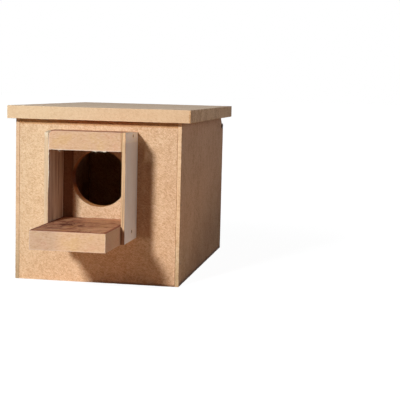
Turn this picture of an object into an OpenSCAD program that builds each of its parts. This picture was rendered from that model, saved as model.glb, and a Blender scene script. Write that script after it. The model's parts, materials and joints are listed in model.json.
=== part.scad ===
// Nest box with a porch and a hinged lid, built from boards, strips and nails.
// The origin is the middle of the box's base: +X to the right, +Y to the back, +Z up.
// The front panel's outer face, with the porch on it, looks along -Y.

/* [Boards] */
// Thickness of the front, back and floor boards
board_t = 12; // [10:1:18]
// Thickness of the two side panels
side_t = 3.5; // [3:0.5:6]
// Thickness of the lid board
lid_t = 11.5; // [9:0.5:18]

/* [Box] */
// Width over the side panels
box_w = 150; // [135:1:200]
// Depth of the side panels, from front edge to back edge
box_d = 240; // [180:1:320]
// Height of the front and side panels
box_h = 144; // [130:1:200]
// Open gap above the back panel, under the hinge batten
rear_gap = 18; // [8:1:30]

/* [Lid] */
// Lid's reach beyond the front panel
lid_front_reach = 8; // [2:0.5:20]
// Lid's reach beyond the left side panel
lid_left_reach = 5.5; // [3:0.5:20]
// Lid's reach beyond the right side panel
lid_right_reach = 9; // [3:0.5:20]

/* [Hinge] */
// Width of the hinge batten, front to back
batten_w = 30; // [24:1:45]
// Thickness of the hinge batten
batten_t = 16; // [15:1:24]
// Gap between each end of the batten and the side panel
batten_gap = 0.5; // [0.3:0.1:1.5]
// Depth of the pivot axis below the lid's underside
pivot_drop = 10; // [8:0.5:11]
// How much further the pivot lies from the back edge than from the lid
pivot_set = 0.5; // [0.3:0.1:1]
// Diameter of a pivot nail's shank
pivot_d = 2.5; // [2:0.1:3]
// Length of a pivot nail
pivot_l = 30; // [20:1:40]
// Diameter of a pivot nail's head
pivot_head_d = 5.5; // [4.5:0.1:7]
// Thickness of a pivot nail's head
pivot_head_t = 1; // [0.6:0.1:1.5]
// Radial clearance of a pivot nail in the side panel
pivot_clearance = 0.05; // [0.02:0.01:0.1]
// Gap between a pivot nail's head and the side panel
pivot_head_gap = 0.3; // [0.1:0.1:1]
// Side panel's corner cut, how far it starts in front of the pivot
cut_before_pivot = 7.5; // [4:0.5:9]
// Side panel's corner cut, how far it ends below the pivot
cut_below_pivot = 3.5; // [3:0.5:6]

/* [Entrance] */
// Diameter of the entrance hole
hole_d = 50; // [30:1:60]
// Hole's centre, to the right of the porch's middle
hole_shift = 1; // [-3:0.5:3]
// Height of the hole's lower edge above the landing board
hole_sill = 10; // [5:0.5:20]
// Height of the top block above the hole's upper edge
hole_head = 2; // [1:0.5:8]
// Distance from the hole's edge to each cheek when the hole is in the porch's middle
hole_side = 6.75; // [4:0.25:12]

/* [Porch] */
// Porch's middle, to the right of the box's middle
porch_x = 1; // [-2:0.5:2]
// Depth of the porch's upper face below the lid
porch_drop = 7; // [3:0.5:15]
// Thickness of a cheek
cheek_t = 3.5; // [3:0.5:6]
// Depth of the cheeks and the top block, out from the front panel
cheek_d = 44; // [34:1:60]
// Height of the top block
top_block_h = 17; // [12:0.5:20]
// Thickness of the landing board
landing_t = 16; // [12:0.5:20]
// Landing board's reach beyond the cheeks
landing_reach = 48.5; // [30:0.5:60]

/* [Nails] */
// Diameter of a panel pin in the side panels
pin_d = 1.4; // [1.2:0.1:1.8]
// Length of a panel pin
pin_l = 20; // [15:1:25]
// Diameter of a panel pin's head
pin_head_d = 2.2; // [2:0.1:3]
// Distance of the first and last pin from the ends of an edge
pin_inset = 20; // [15:1:30]
// Panel pins along the front edge of a side
front_pins = 3; // [2:1:4]
// Panel pins along the floor's edge
floor_pins = 3; // [2:1:5]
// Panel pins along the back edge of a side
back_pins = 2; // [2:1:3]
// Shank diameter of the nails that hold the porch and the batten
nail_d = 1.8; // [1.6:0.1:2]
// Head diameter of those nails
nail_head_d = 3.4; // [3:0.1:4]
// Thickness of every sunk head
head_t = 0.8; // [0.5:0.1:1]
// Length of a cheek nail
cheek_nail_l = 16; // [12:1:18]
// Cheek nail's distance from the front panel
cheek_nail_y = 18; // [12:1:26]
// Depth of the upper cheek nail below the porch's top
cheek_nail_drop = 4.5; // [3.5:0.5:5]
// Length of a nail through the front panel into the top block
block_nail_l = 35; // [28:1:40]
// Length of a nail through the front panel into the landing board
landing_nail_l = 45; // [35:1:55]
// Spacing of the two nails in the top block and in the landing board
block_nail_gap = 20; // [12:1:22]
// Length of a nail through the lid into the batten
lid_nail_l = 24; // [20:1:24]
// Distance of the outer lid nails from the batten's ends
lid_nail_inset = 35; // [34:1:45]

/* [Hidden] */

$fn = 48;
// Overlap that carries a cut past the face it opens in
past = 1;
// Length of a nail's point, in shank diameters
point_share = 1.6;
// Diameter of the blunt end of a nail's point, in shank diameters
blunt_share = 0.2;

front_y = -box_d / 2;
back_y = box_d / 2;
inner_w = box_w - 2 * side_t;
inner_d = box_d - 2 * board_t;
back_h = box_h - batten_t - rear_gap;
batten_l = inner_w - 2 * batten_gap;
lid_nail_x = batten_l / 2 - lid_nail_inset;
pivot_y = back_y - pivot_drop - pivot_set;
pivot_z = box_h - pivot_drop;
hole_x = porch_x + hole_shift;
porch_w = hole_d + 2 * hole_side;
porch_h = landing_t + hole_sill + hole_d + hole_head + top_block_h;
porch_top = box_h - porch_drop;
porch_z = porch_top - porch_h;
hole_z = porch_z + landing_t + hole_sill + hole_d / 2;
landing_d = cheek_d + landing_reach;
landing_mid_z = porch_z + landing_t / 2;
block_mid_z = porch_top - top_block_h / 2;

mdf = [0.89, 0.74, 0.57];
thin_mdf = [0.78, 0.63, 0.48];
beech = [0.87, 0.70, 0.55];
pale_strip = [0.96, 0.84, 0.69];
pine = [0.84, 0.65, 0.38];
steel = [0.62, 0.62, 0.63];

// Positions of count nails, evenly spaced from low to high.
function row(count, low, high) = [for (i = [0 : count - 1]) low + i * (high - low) / (count - 1)];

front_pin_z = row(front_pins, pin_inset, box_h - pin_inset);
back_pin_z = row(back_pins, pin_inset, back_h - pin_inset);
floor_pin_y = row(floor_pins, pin_inset - inner_d / 2, inner_d / 2 - pin_inset);
// Each pin as [y, z] on the side panel's outer face.
side_pins = concat(
    [for (z = front_pin_z) [front_y + board_t / 2, z]],
    [for (z = back_pin_z) [back_y - board_t / 2, z]],
    [for (y = floor_pin_y) [y, board_t / 2]]);
block_nail_x = [porch_x - block_nail_gap / 2, porch_x + block_nail_gap / 2];
cheek_nail_z = [landing_mid_z, porch_top - cheek_nail_drop];
lid_nails_x = [-lid_nail_x, 0, lid_nail_x];

// A board by its lowest corner and its size.
module board(corner, size) {
    translate(corner) cube(size);
}

// A nail with the outer face of its head at z = 0 and its point down.
module nail(d, l, head_d, head_t) {
    point = point_share * d;
    rotate_extrude()
        polygon([[0, 0], [head_d / 2, 0], [head_d / 2, -head_t], [d / 2, -head_t],
                 [d / 2, point - l], [blunt_share * d / 2, -l], [0, -l]]);
}

// The space a sunk nail fills, with its mouth carried past the face.
module nail_hole(d, l, head_d, head_t) {
    nail(d, l, head_d, head_t);
    translate([0, 0, -head_t / 2]) cylinder(d = head_d, h = head_t / 2 + past);
}

// Turns a nail so that it goes in along -X or +X from a side face, or along -Y from inside the front.
module from_right(x, y, z) {
    translate([x, y, z]) rotate([0, 90, 0]) children();
}
module from_left(x, y, z) {
    translate([x, y, z]) rotate([0, -90, 0]) children();
}
module from_inside(x, z) {
    translate([x, front_y + board_t, z]) rotate([-90, 0, 0]) children();
}

module at_right_pins() {
    for (p = side_pins) from_right(box_w / 2, p[0], p[1]) children();
}
module at_left_pins() {
    for (p = side_pins) from_left(-box_w / 2, p[0], p[1]) children();
}
module pin() {
    nail(pin_d, pin_l, pin_head_d, head_t);
}
module pin_hole() {
    nail_hole(pin_d, pin_l, pin_head_d, head_t);
}
module side_pin_holes() {
    at_right_pins() pin_hole();
    at_left_pins() pin_hole();
}

module at_right_cheek_nails() {
    for (z = cheek_nail_z)
        from_right(porch_x + porch_w / 2 + cheek_t, front_y - cheek_nail_y, z) children();
}
module at_left_cheek_nails() {
    for (z = cheek_nail_z)
        from_left(porch_x - porch_w / 2 - cheek_t, front_y - cheek_nail_y, z) children();
}
module cheek_nail() {
    nail(nail_d, cheek_nail_l, nail_head_d, head_t);
}
module cheek_nail_holes() {
    at_right_cheek_nails() nail_hole(nail_d, cheek_nail_l, nail_head_d, head_t);
    at_left_cheek_nails() nail_hole(nail_d, cheek_nail_l, nail_head_d, head_t);
}

module at_top_block_nails() {
    for (x = block_nail_x) from_inside(x, block_mid_z) children();
}
module at_landing_nails() {
    for (x = block_nail_x) from_inside(x, landing_mid_z) children();
}
module porch_nail_holes() {
    at_top_block_nails() nail_hole(nail_d, block_nail_l, nail_head_d, head_t);
    at_landing_nails() nail_hole(nail_d, landing_nail_l, nail_head_d, head_t);
}

module at_lid_nails() {
    for (x = lid_nails_x) translate([x, back_y - batten_w / 2, box_h + lid_t]) children();
}
module lid_nail_holes() {
    at_lid_nails() nail_hole(nail_d, lid_nail_l, nail_head_d, head_t);
}

module pivot_nail() {
    nail(pivot_d, pivot_l, pivot_head_d, pivot_head_t);
}
module at_right_pivot() {
    from_right(box_w / 2 + pivot_head_gap + pivot_head_t, pivot_y, pivot_z) children();
}
module at_left_pivot() {
    from_left(-box_w / 2 - pivot_head_gap - pivot_head_t, pivot_y, pivot_z) children();
}

// Front board between the sides, with the round entrance.
module front_panel() {
    color(mdf) difference() {
        board([-inner_w / 2, front_y, 0], [inner_w, board_t, box_h]);
        translate([hole_x, front_y - past, hole_z])
            rotate([-90, 0, 0]) cylinder(d = hole_d, h = board_t + 2 * past, $fn = 96);
        side_pin_holes();
        porch_nail_holes();
    }
}

// Back board between the sides, ending below the batten.
module back_panel() {
    color(mdf) difference() {
        board([-inner_w / 2, back_y - board_t, 0], [inner_w, board_t, back_h]);
        side_pin_holes();
    }
}

// Floor board inside the four walls.
module floor_panel() {
    color(mdf) difference() {
        board([-inner_w / 2, -inner_d / 2, 0], [inner_w, inner_d, board_t]);
        side_pin_holes();
    }
}

// Side outline in depth and height, its top rear corner cut so that the lid can swing.
module side_outline() {
    polygon([[front_y, 0], [back_y, 0], [back_y, pivot_z - cut_below_pivot],
             [pivot_y - cut_before_pivot, box_h], [front_y, box_h]]);
}

// A side panel from x to x + side_t, with its pin holes and the bore its pivot nail turns in.
module side_panel(x) {
    color(thin_mdf) difference() {
        translate([x, 0, 0]) rotate([90, 0, 90]) linear_extrude(side_t) side_outline();
        side_pin_holes();
        translate([x - past, pivot_y, pivot_z]) rotate([0, 90, 0])
            cylinder(d = pivot_d + 2 * pivot_clearance, h = side_t + 2 * past);
    }
}
module left_side() {
    side_panel(-box_w / 2);
}
module right_side() {
    side_panel(box_w / 2 - side_t);
}

module left_side_pins() {
    color(steel) at_left_pins() pin();
}
module right_side_pins() {
    color(steel) at_right_pins() pin();
}

// A porch cheek from x to x + cheek_t.
module cheek(x) {
    color(pale_strip) difference() {
        board([x, front_y - cheek_d, porch_z], [cheek_t, cheek_d, porch_h]);
        cheek_nail_holes();
    }
}
module porch_left_cheek() {
    cheek(porch_x - porch_w / 2 - cheek_t);
}
module porch_right_cheek() {
    cheek(porch_x + porch_w / 2);
}

// A strip between the cheeks, out from the front panel by depth, from z to z + height.
module porch_strip(depth, z, height) {
    color(beech) difference() {
        board([porch_x - porch_w / 2, front_y - depth, z], [porch_w, depth, height]);
        cheek_nail_holes();
        porch_nail_holes();
    }
}
module porch_top_block() {
    porch_strip(cheek_d, porch_top - top_block_h, top_block_h);
}
module landing_board() {
    porch_strip(landing_d, porch_z, landing_t);
}

module left_cheek_nails() {
    color(steel) at_left_cheek_nails() cheek_nail();
}
module right_cheek_nails() {
    color(steel) at_right_cheek_nails() cheek_nail();
}
module top_block_nails() {
    color(steel) at_top_block_nails() nail(nail_d, block_nail_l, nail_head_d, head_t);
}
module landing_board_nails() {
    color(steel) at_landing_nails() nail(nail_d, landing_nail_l, nail_head_d, head_t);
}

// Lid board, flush with the back edges of the sides.
module lid_board() {
    color(mdf) difference() {
        board([-box_w / 2 - lid_left_reach, front_y - lid_front_reach, box_h],
              [box_w + lid_left_reach + lid_right_reach, box_d + lid_front_reach, lid_t]);
        lid_nail_holes();
    }
}

// Batten under the back of the lid, held in its ends by the pivot nails.
module hinge_batten() {
    color(pine) difference() {
        board([-batten_l / 2, back_y - batten_w, box_h - batten_t], [batten_l, batten_w, batten_t]);
        lid_nail_holes();
        at_right_pivot() pivot_nail();
        at_left_pivot() pivot_nail();
    }
}

module lid_nails() {
    color(steel) at_lid_nails() nail(nail_d, lid_nail_l, nail_head_d, head_t);
}
module left_pivot_nail() {
    color(steel) at_left_pivot() pivot_nail();
}
module right_pivot_nail() {
    color(steel) at_right_pivot() pivot_nail();
}

front_panel();
back_panel();
left_side();
right_side();
floor_panel();
left_side_pins();
right_side_pins();
porch_left_cheek();
porch_right_cheek();
porch_top_block();
landing_board();
left_cheek_nails();
right_cheek_nails();
top_block_nails();
landing_board_nails();
lid_board();
hinge_batten();
lid_nails();
left_pivot_nail();
right_pivot_nail();
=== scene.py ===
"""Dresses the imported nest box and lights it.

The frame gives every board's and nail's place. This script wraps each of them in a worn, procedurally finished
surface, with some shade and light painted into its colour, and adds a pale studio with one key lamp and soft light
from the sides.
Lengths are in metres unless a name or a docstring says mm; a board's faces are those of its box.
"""
import functools
import json
import logging
import math
from dataclasses import dataclass, replace
from enum import Enum

import bpy
import numpy as np
from mathutils import Matrix, Vector


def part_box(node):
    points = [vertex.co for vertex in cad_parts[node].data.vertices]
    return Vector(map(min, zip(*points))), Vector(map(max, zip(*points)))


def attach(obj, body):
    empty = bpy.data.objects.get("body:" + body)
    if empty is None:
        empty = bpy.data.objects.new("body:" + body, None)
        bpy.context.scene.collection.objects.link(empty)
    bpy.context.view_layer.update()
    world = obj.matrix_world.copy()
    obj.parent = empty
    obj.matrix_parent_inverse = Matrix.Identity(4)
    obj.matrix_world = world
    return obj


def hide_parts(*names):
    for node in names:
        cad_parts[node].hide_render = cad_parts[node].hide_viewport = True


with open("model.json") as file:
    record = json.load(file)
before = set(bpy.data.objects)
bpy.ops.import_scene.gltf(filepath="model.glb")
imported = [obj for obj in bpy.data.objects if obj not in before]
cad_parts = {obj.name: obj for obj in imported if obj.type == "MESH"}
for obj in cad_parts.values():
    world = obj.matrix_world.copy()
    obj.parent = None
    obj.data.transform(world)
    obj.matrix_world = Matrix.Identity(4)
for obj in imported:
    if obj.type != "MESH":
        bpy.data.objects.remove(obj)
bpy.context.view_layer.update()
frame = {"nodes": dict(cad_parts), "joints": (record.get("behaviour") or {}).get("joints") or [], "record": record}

LOG = logging.getLogger("nest_box")
MM = 0.001

Tone = tuple[float, float, float]
Point = tuple[float, float, float]
Span = tuple[float, float, float, float]
Link = bpy.types.NodeSocket

# Picks each piece's wear and its place in the endless patterns.
SEEDS = {
    "front_panel": 20,
    "left_side": 21,
    "right_side": 22,
    "back_panel": 23,
    "floor_panel": 24,
    "porch_left_cheek": 31,
    "porch_right_cheek": 32,
    "porch_top_block": 33,
    "landing_board": 34,
    "lid_board": 41,
    "hinge_batten": 42,
    "cheek_lip": 51,
    "block_lip": 53,
    "splinters": 55,
    "left_side_pins": 60,
    "right_side_pins": 61,
    "left_cheek_nails": 62,
    "right_cheek_nails": 63,
    "top_block_nails": 64,
    "landing_board_nails": 65,
    "lid_nails": 66,
    "left_pivot_nail": 67,
    "right_pivot_nail": 68,
}
# Added to a seed for each further random field of the same piece.
FACE_FIELD = 2
SHORT_FIELD = 5
SAW_FIELD = 7
PLACE_FIELD = 1000
# How far along each axis a piece can be moved in the endless patterns, in mm.
PLACE_REACH_MM = 900
# The random fields' scale, and their waves' least and greatest length as shares of the typical one.
RIPPLE_GAIN = 1.7
LENGTH_SPREAD = (0.6, 1.6)
# Stations near a rounded edge, in radii from it; stations on a quarter arc, and inside a sawn wall.
CLOSE_STATIONS = (0, 0.13, 0.38, 0.68, 1.0, 1.7, 3.0)
ARC_STATIONS = 5
WALL_STATIONS = 3
# The widest rounding, as a share of a board's least size.
WIDEST_RADIUS = 0.42
# How far apart two points of one nail can lie across its axis.
NAIL_REACH = 6.0 * MM
# How near to a face of its box a node's point counts as lying on it.
NODE_GAP = 0.01 * MM
# A step between two faces of a piece that its vertex numbers tell apart.
FACE_STEP = (0.45, 0.55)
# Reaches of painted shades and tints along an axis: everywhere, the front panel's outer skin, and all of it but
# its inner skin.
OPEN: Span = (0.0, 0.0, 0.0, 0.0)
FRONT_SKIN: Span = (0.0, -119.0, 0.0, 1.0)
FRONT_TO_INNER: Span = (0.0, -108.4, 0.0, 0.3)


class Axis(Enum):
    """A coordinate axis, by its index in a point."""

    X = 0
    Y = 1
    Z = 2


class Body(Enum):
    """The bodies of the frame that pieces ride on."""

    BOX = "box"
    LID = "lid"


class Slot(Enum):
    """The material slots of the record."""

    MDF = "mdf_board"
    SIDE = "side_board"
    STRIP = "pale_strip"
    BEECH = "beech"
    PINE = "pine"
    STEEL = "steel_nail"


# ---------------------------------------------------------------- shader maths


@dataclass(frozen=True)
class Pattern:
    """Noise about 0.5.

    The place is divided by drawn along axes that turn has turned. Then size is the length of the features,
    detail the octaves of finer noise, rough their strength, and warp how far the noise bends itself.
    """

    drawn: Point = (1.0, 1.0, 1.0)
    size: float = 1.0
    detail: float = 2.0
    rough: float = 0.5
    warp: float = 0.0
    turn: Point = (0.0, 0.0, 0.0)


class Value:
    """A number that varies over a surface; Python arithmetic on it adds Math nodes."""

    def __init__(self, tree: "Nodes", socket: Link) -> None:
        """Wraps one output socket of a tree."""
        self.tree = tree
        self.socket = socket

    def __add__(self, other: "Value | float") -> "Value":
        """Sum."""
        return self.tree.math("ADD", self, other)

    def __sub__(self, other: "Value | float") -> "Value":
        """Difference."""
        return self.tree.math("SUBTRACT", self, other)

    def __rsub__(self, other: float) -> "Value":
        """Difference from a number."""
        return self.tree.math("SUBTRACT", other, self)

    def __mul__(self, other: "Value | float") -> "Value":
        """Product."""
        return self.tree.math("MULTIPLY", self, other)

    __radd__ = __add__
    __rmul__ = __mul__

    def most(self, other: "Value | float") -> "Value":
        """The larger of two values."""
        return self.tree.math("MAXIMUM", self, other)

    def smooth(self, low: float, high: float) -> "Value":
        """A soft step from one value to another.

        Args:
            low: Where the step is 0.
            high: Where it is 1; it may be less than low.

        Returns:
            The step.
        """
        inputs = {"Value": self, "From Min": low, "From Max": high}
        node = self.tree.node("ShaderNodeMapRange", {"interpolation_type": "SMOOTHSTEP"}, inputs)
        return Value(self.tree, node.outputs["Result"])


class Nodes:
    """A node tree that is filled by node type, settings and socket values."""

    def __init__(self, tree: bpy.types.NodeTree) -> None:
        """Empties the tree."""
        self.tree = tree
        tree.nodes.clear()

    def node(self, kind: str, settings: dict, inputs: dict) -> bpy.types.Node:
        """Adds one node.

        Args:
            kind: The node's type name.
            settings: Attributes, set first.
            inputs: Socket name or index to a Value, a socket, a number or a tuple.

        Returns:
            The new node.
        """
        node = self.tree.nodes.new(kind)
        for name, setting in settings.items():
            setattr(node, name, setting)
        for key, given in inputs.items():
            target = node.inputs[key]
            if isinstance(given, Value):
                self.tree.links.new(given.socket, target)
            elif isinstance(given, Link):
                self.tree.links.new(given, target)
            elif target.type == "RGBA":
                target.default_value = (*given[:3], 1.0)
            else:
                target.default_value = given
        return node

    def math(self, operation: str, *terms: "Value | float") -> Value:
        """A Math node on its terms."""
        node = self.node("ShaderNodeMath", {"operation": operation}, dict(enumerate(terms)))
        return Value(self, node.outputs[0])

    def coords(self) -> Link:
        """The object's own coordinates, in metres."""
        return self.node("ShaderNodeTexCoord", {}, {}).outputs["Object"]

    def place(self, seed: int) -> Link:
        """The object's own coordinates in mm, moved by an offset.

        Args:
            seed: Picks the offset.

        Returns:
            The moved coordinates.
        """
        offset = np.random.default_rng(PLACE_FIELD + seed).uniform(0, PLACE_REACH_MM, 3)
        inputs = {"Vector": self.coords(), "Location": tuple(offset), "Scale": (1 / MM,) * 3}
        return self.node("ShaderNodeMapping", {}, inputs).outputs["Vector"]

    def stretch(self, vector: Link, scale: Point, turn: Point = (0.0, 0.0, 0.0)) -> Link:
        """The vector divided by scale along its axes, which are turned by angles in radians."""
        inputs = {"Vector": vector, "Rotation": turn, "Scale": scale}
        return self.node("ShaderNodeMapping", {"vector_type": "TEXTURE"}, inputs).outputs["Vector"]

    def noise(self, place: Link, *patterns: Pattern) -> list[Value]:
        """Noise in several patterns.

        Args:
            place: Where it is read, in mm.
            patterns: How each noise looks.

        Returns:
            One value for each pattern.
        """
        values = []
        for look in patterns:
            inputs = {"Vector": self.stretch(place, look.drawn, look.turn), "Scale": 1 / look.size}
            inputs.update({"Detail": look.detail, "Roughness": look.rough, "Distortion": look.warp})
            values.append(Value(self, self.node("ShaderNodeTexNoise", {}, inputs).outputs["Fac"]))
        return values

    def cells(self, vector: Link, size: float, output: str = "Distance") -> Value:
        """Scattered points' cells: the distance to the nearest point in sizes, or the cell's own grey."""
        node = self.node("ShaderNodeTexVoronoi", {}, {"Vector": vector, "Scale": 1 / size})
        return Value(self, node.outputs[output])

    def ray(self, kind: str) -> Value:
        """1 for one kind of ray, by its name in the Light Path node."""
        return Value(self, self.node("ShaderNodeLightPath", {}, {}).outputs[kind])

    def attribute(self, name: str) -> Value:
        """A number that the piece carries on its vertices."""
        return Value(self, self.node("ShaderNodeAttribute", {"attribute_name": name}, {}).outputs["Fac"])

    def mix(self, way: str, factor: Value, first: "Tone | Link", second: "Tone | Link") -> Link:
        """Two colours mixed in one of the Mix node's ways."""
        settings = {"data_type": "RGBA", "blend_type": way}
        return self.node("ShaderNodeMix", settings, {0: factor, 6: first, 7: second}).outputs[2]

    def blend(self, factor: Value, first: "Tone | Link", second: "Tone | Link") -> Link:
        """A colour between first, at factor 0, and second, at factor 1."""
        return self.mix("MIX", factor, first, second)

    def tint(self, colour: Link, *steps: tuple[Value, Tone]) -> Link:
        """A colour multiplied by each step's tone to the degree of its factor."""
        for factor, tone in steps:
            colour = self.mix("MULTIPLY", factor, colour, tone)
        return colour

    def lean(self, vector: Link, towards: Point) -> Value:
        """The vector's part along a direction."""
        node = self.node("ShaderNodeVectorMath", {"operation": "DOT_PRODUCT"}, {0: vector, 1: towards})
        return Value(self, node.outputs["Value"])

    def gap_mm(self, point: Point) -> Value:
        """The distance from a point of the frame, in mm."""
        node = self.node("ShaderNodeVectorMath", {"operation": "DISTANCE"}, {0: self.coords(), 1: point})
        return Value(self, node.outputs["Value"]) * (1 / MM)

    def surface(
        self, colour: Link, roughness: "Value | float", relief: tuple[Value, float], **more: "Value | float"
    ) -> None:
        """Ends the tree in a Principled shader.

        Args:
            colour: Base colour.
            roughness: Roughness.
            relief: The height in mm that bends the normal, and its strength.
            more: What other sockets get, with _ for a space in the socket's name.
        """
        heights = {"Height": relief[0], "Distance": MM, "Strength": relief[1]}
        normal = self.node("ShaderNodeBump", {}, heights).outputs["Normal"]
        inputs = {"Base Color": colour, "Roughness": roughness, "Normal": normal}
        inputs.update({name.replace("_", " "): value for name, value in more.items()})
        shader = self.node("ShaderNodeBsdfPrincipled", {}, inputs)
        self.node("ShaderNodeOutputMaterial", {}, {"Surface": shader.outputs["BSDF"]})


def new_material(name: str) -> tuple[bpy.types.Material, Nodes]:
    """A material and its emptied node tree.

    Args:
        name: The material's name.

    Returns:
        The material and the tree.
    """
    material = bpy.data.materials.new(name)
    material.use_nodes = True
    return material, Nodes(material.node_tree)


# ---------------------------------------------------------------- finishes


@dataclass(frozen=True)
class ShadeAndTint:
    """A box whose colour a tone multiplies: mostly painted shade, some painted light, and a few plain tints.

    Along each axis it has a low and a high face, and fades out some way past each. All four are in mm, and a
    fade of 0 leaves that side open.
    """

    tone: Tone
    x: Span = OPEN
    y: Span = OPEN
    z: Span = OPEN

    def lay(self, tree: Nodes, base: Link) -> Link:
        """Multiplies a colour by the tone, fully inside the box and fading out past its faces.

        Args:
            tree: The material's nodes.
            base: The colour so far.

        Returns:
            The multiplied colour.
        """
        place = tree.node("ShaderNodeSeparateXYZ", {}, {"Vector": tree.coords()}).outputs
        share = 1.0
        for socket, (low, high, fade_low, fade_high) in zip(place, (self.x, self.y, self.z)):
            along = Value(tree, socket)
            if fade_low:
                share = share * along.smooth((low - fade_low) * MM, low * MM)
            if fade_high:
                share = share * along.smooth((high + fade_high) * MM, high * MM)
        return tree.tint(base, (share, self.tone))


@dataclass(frozen=True)
class Torn:
    """A torn or stained place on a board: its middle in metres, its reach in mm and how strong it is."""

    middle: Point
    reach_mm: float
    strength: float = 0.75


@dataclass(frozen=True)
class Finish:
    """What every finish shares: a material whose nodes its own paint method adds."""

    shades_and_tints: tuple[ShadeAndTint, ...] = ()

    def make(self, name: str) -> bpy.types.Material:
        """Builds the material of one piece.

        Args:
            name: The piece's name in the table of seeds, which the material takes too.

        Returns:
            The material.
        """
        material, tree = new_material(name)
        self.paint(tree, tree.place(SEEDS[name]))
        return material

    def paint(self, tree: Nodes, place: Link) -> None:
        """Adds the nodes: tree is the material's, and place is where in the endless patterns a point lies."""
        raise NotImplementedError

    def shaded_and_tinted(self, tree: Nodes, base: Link) -> Link:
        """The colour with all the painted shades and tints laid on it."""
        return functools.reduce(lambda colour, shade_and_tint: shade_and_tint.lay(tree, colour), self.shades_and_tints, base)


@dataclass(frozen=True)
class Fibreboard(Finish):
    """Bare fibreboard: tan faces pressed from light and dark fibres and chips, and smoother sawn edges.

    Clouds, mottle, chips and long streaks add up to one shade. Where it is low the colour is multiplied by
    the dark tone, where it is high by the light one; hairs, strands and grit do the same finely.
    The colour turns by the drift tone along drift_way, between two places of drift_span. With the default tone
    this is
    painted shade and sheen: the face turns redder towards the lower right, away from the lamp.
    """

    face: Tone = (0.805, 0.556, 0.337)
    sawn: Tone = (0.77, 0.53, 0.308)
    dark: Tone = (0.80, 0.70, 0.61)
    light: Tone = (1.08, 1.13, 1.21)
    # Rubbed arrises turn pale by this tone: partly wear, partly a painted highlight along the edges.
    worn: Tone = (1.12, 1.20, 1.30)
    # Painted shade and sheen: by default the drift reddens the face towards the lower right, away from the lamp.
    drift_tone: Tone = (1.0, 0.89, 0.85)
    drift_way: Point = (1.0, 0.0, -0.6)
    drift_span: tuple[float, float] = (-0.15, 0.07)
    drift_contrast: float = 0.5
    edge_tone: Tone = (0.72, 0.62, 0.54)
    clouds: float = 0.5
    mottling: float = 0.6
    chipping: float = 0.30
    streaks: float = 0.0
    sawn_contrast: float = 0.6
    dark_gain: float = 2.2
    light_gain: float = 1.8
    rubbing: float = 0.6
    edge_line: float = 0.0
    wear_mm: float = 0.7
    relief: float = 0.6
    slant: Point = (0.4, 0.5, 0.3)
    chip_drawn: Point = (1.6, 1.0, 1.0)
    chip_mm: float = 1.7
    cloud_form: Pattern = Pattern(size=34)
    mottle_form: Pattern = Pattern(size=8, detail=3, rough=0.6)
    hair_form: Pattern = Pattern((3.2, 0.9, 0.9), rough=0.6, turn=(0.4, 0.5, 0.3))
    strand_form: Pattern = Pattern((0.9, 2.8, 0.9), rough=0.6, turn=(-0.7, 0.3, 1.1))
    grit_form: Pattern = Pattern(size=0.9, rough=0.7)
    drawn_form: Pattern = Pattern((4.0, 4.0, 90.0), rough=0.6)

    def paint(self, tree: Nodes, place: Link) -> None:
        """Adds the nodes.

        Args:
            tree: The material's nodes.
            place: The point's place in the endless patterns.
        """
        cut = tree.attribute("cut").smooth(*FACE_STEP)
        arris = tree.attribute("arris")
        cloud, mottle, hairs = tree.noise(place, self.cloud_form, self.mottle_form, self.hair_form)
        strands, grit, drawn = tree.noise(place, self.strand_form, self.grit_form, self.drawn_form)
        chips = tree.cells(tree.stretch(place, self.chip_drawn, self.slant), self.chip_mm, "Color")
        drift = tree.lean(tree.coords(), self.drift_way).smooth(*self.drift_span)
        contrast = (1 - cut * (1 - self.sawn_contrast)) * (1 + drift * self.drift_contrast)
        shade = (cloud - 0.5) * self.clouds + (mottle - 0.5) * self.mottling
        shade = shade + (chips - 0.5) * self.chipping + (drawn - 0.5) * self.streaks
        shade = shade * contrast
        dark = hairs.smooth(0.52, 0.32).most(grit.smooth(0.50, 0.32))
        light = strands.smooth(0.50, 0.68)
        rub = arris.smooth(self.wear_mm, 0.1) * mottle.smooth(0.3, 0.6)
        base = tree.tint(
            tree.blend(cut, self.face, self.sawn),
            # Painted shade and sheen on the front panel and the sides; on the lid, the tone of its right end.
            (drift, self.drift_tone),
            ((shade * -self.dark_gain).most(0), self.dark),
            ((shade * self.light_gain).most(0), self.light),
            (dark * contrast, self.dark),
            (light * contrast, self.light),
            # Pale rubbed arrises: partly wear, partly a painted highlight.
            (rub * self.rubbing, self.worn),
            (arris.smooth(1.0, 0.2) * (1 - cut) * self.edge_line, self.edge_tone),
        )
        height = (hairs + strands) * 0.05 + grit * 0.05 + chips * 0.03
        rough = 0.62 - light * 0.08
        tree.surface(self.shaded_and_tinted(tree, base), rough, (height, self.relief), Specular_IOR_Level=0.5)


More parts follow.
